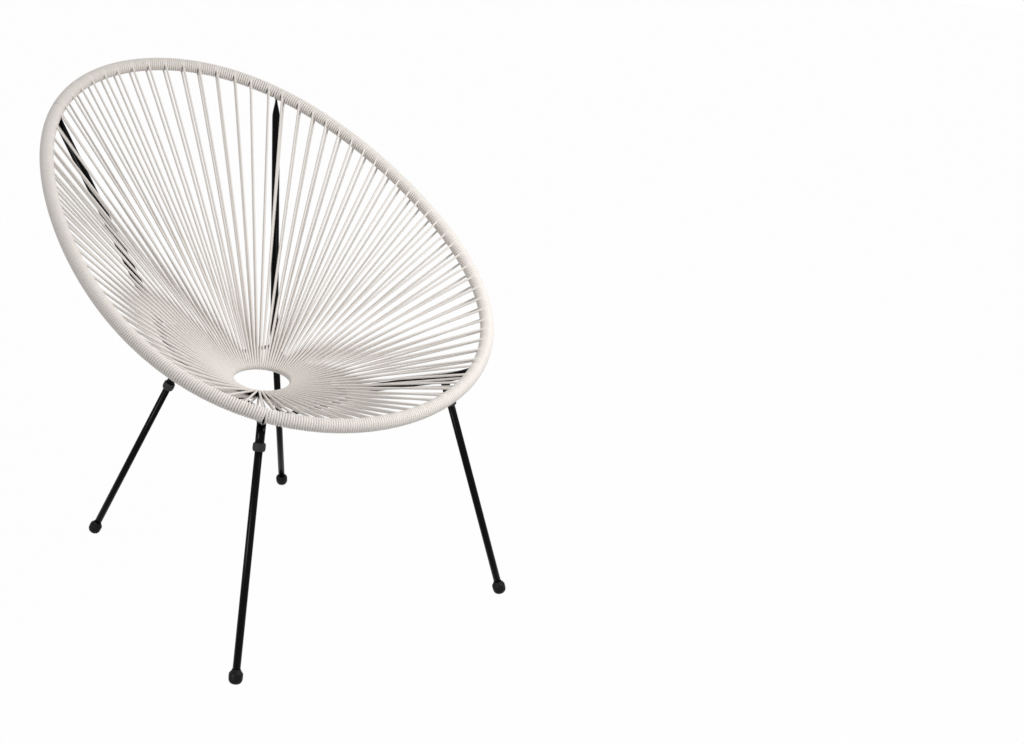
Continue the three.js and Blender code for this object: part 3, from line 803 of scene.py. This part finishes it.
for leg_name, foot, joint, stub_length, flip in legs:
    leg_way, top = leg_axis(foot, joint, stub_length)
    low = FOOT_FLOOR - FOOT_RADIUS / 2 + FIT_GAP
    bore = LEG_RADIUS - LEG_WALL
    profile = [
        (bore, low + LEG_EDGE), (bore + LEG_EDGE, low), (LEG_RADIUS - LEG_EDGE, low),
        (LEG_RADIUS, low + LEG_EDGE), (LEG_RADIUS, (low + top) / 2), (LEG_RADIUS, top - LEG_EDGE),
        (LEG_RADIUS - LEG_EDGE, top), (bore + LEG_EDGE, top), (bore, top - LEG_EDGE),
        (bore, (low + top) / 2),
    ]
    make_piece(f"{leg_name}_leg_tube", turned(foot, leg_way, profile, TUBE_SIDES),
               black_powder_coat, [f"{leg_name}_leg"], looped=True, flipped=flip)
    dress(f"{leg_name}_thread", zinc)

# The collars: moulded plastic rings with a round bulge. Each slips over the joint of a leg and its
# stub and hides the thread.

COLLAR_RADIUS = 0.0105
COLLAR_LENGTH = 0.014
COLLAR_LIP = 0.0007
COLLAR_BULGE_POWER = 2.4
COLLAR_STEPS = 24
SPARK_GRAIN_LUMPS = 3200
SPARK_GRAIN_DEPTH = 0.00005
RUBBED_LUMPS = 180
SPARK_DULLING = 0.08
DARK_BLUE_SHARE = 1.03
PALE_BLUE_SHARE = 1.02


def moulded_plastic(name, dark, pale, roughness, specular):
    """Black moulded plastic: a fine spark-eroded grain, and paler rubbed patches. Both greys
    are a little blue."""
    finish = Finish(bpy.data.materials.new(name))
    place = finish.node("ShaderNodeTexCoord", {}, {}, "Object")
    grain = finish.noise(place, SPARK_GRAIN_LUMPS)
    patches = finish.noise(place, RUBBED_LUMPS, detail=4, roughness=0.6)
    colour = finish.tint(
        patches, (dark, dark, dark * DARK_BLUE_SHARE), (pale, pale, pale * PALE_BLUE_SHARE))
    relief = finish.bump(grain, SPARK_GRAIN_DEPTH)
    rough = roughness + grain * SPARK_DULLING
    return finish.surface(colour, rough, relief, {"Specular IOR Level": specular})


collar_plastic = moulded_plastic(
    "collar_plastic", dark=0.036, pale=0.052, roughness=0.6, specular=0.16)
for leg_name, foot, joint, stub_length, flip in legs:
    leg_way, top = leg_axis(foot, joint, stub_length)
    share = np.linspace(-1, 1, COLLAR_STEPS + 1)
    heights = top + share * COLLAR_LENGTH / 2
    low_bore = LEG_RADIUS + FIT_GAP
    high_bore = STUB_RADIUS + FIT_GAP
    ends = low_bore + COLLAR_LIP + (high_bore - low_bore) * (share + 1) / 2
    bulge = (1 - np.abs(share) ** COLLAR_BULGE_POWER) ** (1 / COLLAR_BULGE_POWER)
    radii = ends + (COLLAR_RADIUS - ends) * bulge
    profile = [
        *zip(radii, heights),
        (high_bore, heights[-1]), (high_bore, top), (low_bore, top), (low_bore, heights[0]),
    ]
    make_piece(f"{leg_name}_collar_ring", turned(foot, leg_way, profile, TUBE_SIDES),
               collar_plastic, [f"{leg_name}_collar"], looped=True, flipped=flip)

# The feet: soft black tips pushed on over the legs, with a sloping shoulder and a rounded edge.
# Each stands flat on the floor where it has worn.

FOOT_SIDE_POWER = 2.6
SHOULDER_LOW = 0.005
SHOULDER_HIGH = 0.0125
MOUTH_RADIUS = 0.0073
MOUTH_EDGE = 0.0004
BALL_STEPS = 18
SHOULDER_STEPS = 10

foot_rubber = moulded_plastic("foot_rubber", dark=0.005, pale=0.010, roughness=0.42, specular=0.1)
for leg_name, foot, joint, stub_length, flip in legs:
    leg_way, _ = leg_axis(foot, joint, stub_length)
    bore = LEG_RADIUS + FIT_GAP
    bore_floor = FOOT_FLOOR - FOOT_RADIUS / 2
    angle = np.linspace(0, math.pi / 2, BALL_STEPS + 1)[1:]
    ball = zip(FOOT_RADIUS * np.sin(angle) ** (2 / FOOT_SIDE_POWER),
               -FOOT_RADIUS * np.abs(np.cos(angle)) ** (2 / FOOT_SIDE_POWER))
    share = np.linspace(0, 1, SHOULDER_STEPS + 1)
    shoulder = zip(FOOT_RADIUS + (MOUTH_RADIUS - FOOT_RADIUS) * smooth_step(share, 0, 1),
                   SHOULDER_LOW + (SHOULDER_HIGH - SHOULDER_LOW) * share)
    profile = [
        *ball,
        *shoulder,
        (MOUTH_RADIUS - MOUTH_EDGE, SHOULDER_HIGH + MOUTH_EDGE),
        (bore, SHOULDER_HIGH + MOUTH_EDGE),
        (bore, bore_floor),
        (bore / 2, bore_floor),
    ]
    grid = turned(foot, leg_way, profile, TUBE_SIDES)
    grid[..., 2] = np.maximum(grid[..., 2], 0)
    make_piece(f"{leg_name}_foot_tip", grid, foot_rubber, [f"{leg_name}_foot"],
               flipped=flip)

# The room: a pale floor that renders white and keeps a faint shadow, one soft lamp above the front
# right, a panel on the left that only draws highlights on the tubes, and an even surround.

FLOOR_REACH = 12
FLOOR_PAINT = (0.6, 0.6, 0.6, 1)
PLAIN_WHITE = (1, 1, 1, 1)
FLOOR_WHITE_SHARE = 0.98

floor_mesh = bpy.data.meshes.new("floor")
floor_mesh.from_pydata(
    [(-FLOOR_REACH, -FLOOR_REACH, 0), (FLOOR_REACH, -FLOOR_REACH, 0),
     (FLOOR_REACH, FLOOR_REACH, 0), (-FLOOR_REACH, FLOOR_REACH, 0)], [], [(0, 1, 2, 3)])
floor = bpy.data.objects.new("floor", floor_mesh)
bpy.context.scene.collection.objects.link(floor)


def seen_directly(finish):
    """1 for rays from the camera, and for those that a glossy or clear surface sends on."""
    camera_ray, glossy_ray, clear_ray = (
        finish.node("ShaderNodeLightPath", {}, {}, ray)
        for ray in ("Is Camera Ray", "Is Glossy Ray", "Is Transmission Ray"))
    seen = camera_ray + glossy_ray + clear_ray
    return seen.maths("MINIMUM", seen, 1.0)


def pale_floor():
    """White paint, mixed with plain white light where it is seen directly."""
    finish = Finish(bpy.data.materials.new("pale_floor"))
    paint = finish.node("ShaderNodeBsdfDiffuse", {}, {"Color": FLOOR_PAINT})
    white = finish.node("ShaderNodeEmission", {}, {"Color": PLAIN_WHITE, "Strength": 1.0})
    mixed = finish.node("ShaderNodeMixShader", {}, {
        0: seen_directly(finish) * FLOOR_WHITE_SHARE, 1: paint, 2: white})
    finish.node("ShaderNodeOutputMaterial", {}, {"Surface": mixed})
    return finish.owner


floor_mesh.materials.append(pale_floor())

SURROUND_STRENGTH = 0.62
LAMP_AIM = (0, 0, 0.4)
# Name, place, size and power, and whether it lights matt surfaces too
LAMPS = [
    ("key_lamp", (0.55, -1.2, 1.35), 0.6, 12.5, True),
    ("glint_panel", (-1.9, -0.6, 0.65), 0.8, 24, False),
]

world = bpy.data.worlds.new("surround")
bpy.context.scene.world = world
surround = Finish(world)
light = surround.node("ShaderNodeBackground", {}, {
    "Color": PLAIN_WHITE, "Strength": SURROUND_STRENGTH})
backdrop = surround.node("ShaderNodeBackground", {}, {"Color": PLAIN_WHITE, "Strength": 1.0})
light_and_backdrop = surround.node("ShaderNodeMixShader", {}, {
    0: seen_directly(surround), 1: light, 2: backdrop})
surround.node("ShaderNodeOutputWorld", {}, {"Surface": light_and_backdrop})
for lamp_name, place, size, power, lights_matt in LAMPS:
    lamp = bpy.data.lights.new(lamp_name, "AREA")
    lamp.shape = "DISK"
    lamp.size = size
    lamp.energy = power
    holder = bpy.data.objects.new(lamp_name, lamp)
    holder.location = place
    holder.visible_diffuse = lights_matt
    aim = np.array(LAMP_AIM) - np.array(place)
    holder.rotation_euler = (
        math.atan2(math.hypot(aim[0], aim[1]), -aim[2]), 0, math.atan2(aim[1], aim[0]) - math.pi / 2)
    bpy.context.scene.collection.objects.link(holder)

# The view: the photograph's own place, in front of the chair, to the sitter's right and a little
# above it, turned and shifted to the photograph's framing.

CAMERA_PLACE = (-1.4034, -2.1045, 1.2695)
CAMERA_AZIMUTH = math.radians(-37.932)
CAMERA_ELEVATION = math.radians(19.767)
CAMERA_ROLL = math.radians(2.623)
CAMERA_SENSOR = 36
CAMERA_LENS = 52.673
CAMERA_SHIFT = (0.1456, 0.0008)

camera = bpy.data.objects.new("camera", bpy.data.cameras.new("camera"))
camera.data.sensor_width = CAMERA_SENSOR
camera.data.lens = CAMERA_LENS
camera.data.shift_x, camera.data.shift_y = CAMERA_SHIFT
camera.location = CAMERA_PLACE
camera.rotation_mode = "QUATERNION"
camera.rotation_quaternion = (
    Euler((math.pi / 2 - CAMERA_ELEVATION, 0, CAMERA_AZIMUTH)).to_quaternion()
    @ Quaternion((0, 0, 1), CAMERA_ROLL))
bpy.context.scene.collection.objects.link(camera)
bpy.context.scene.camera = camera
bpy.context.scene.view_settings.view_transform = "Standard"
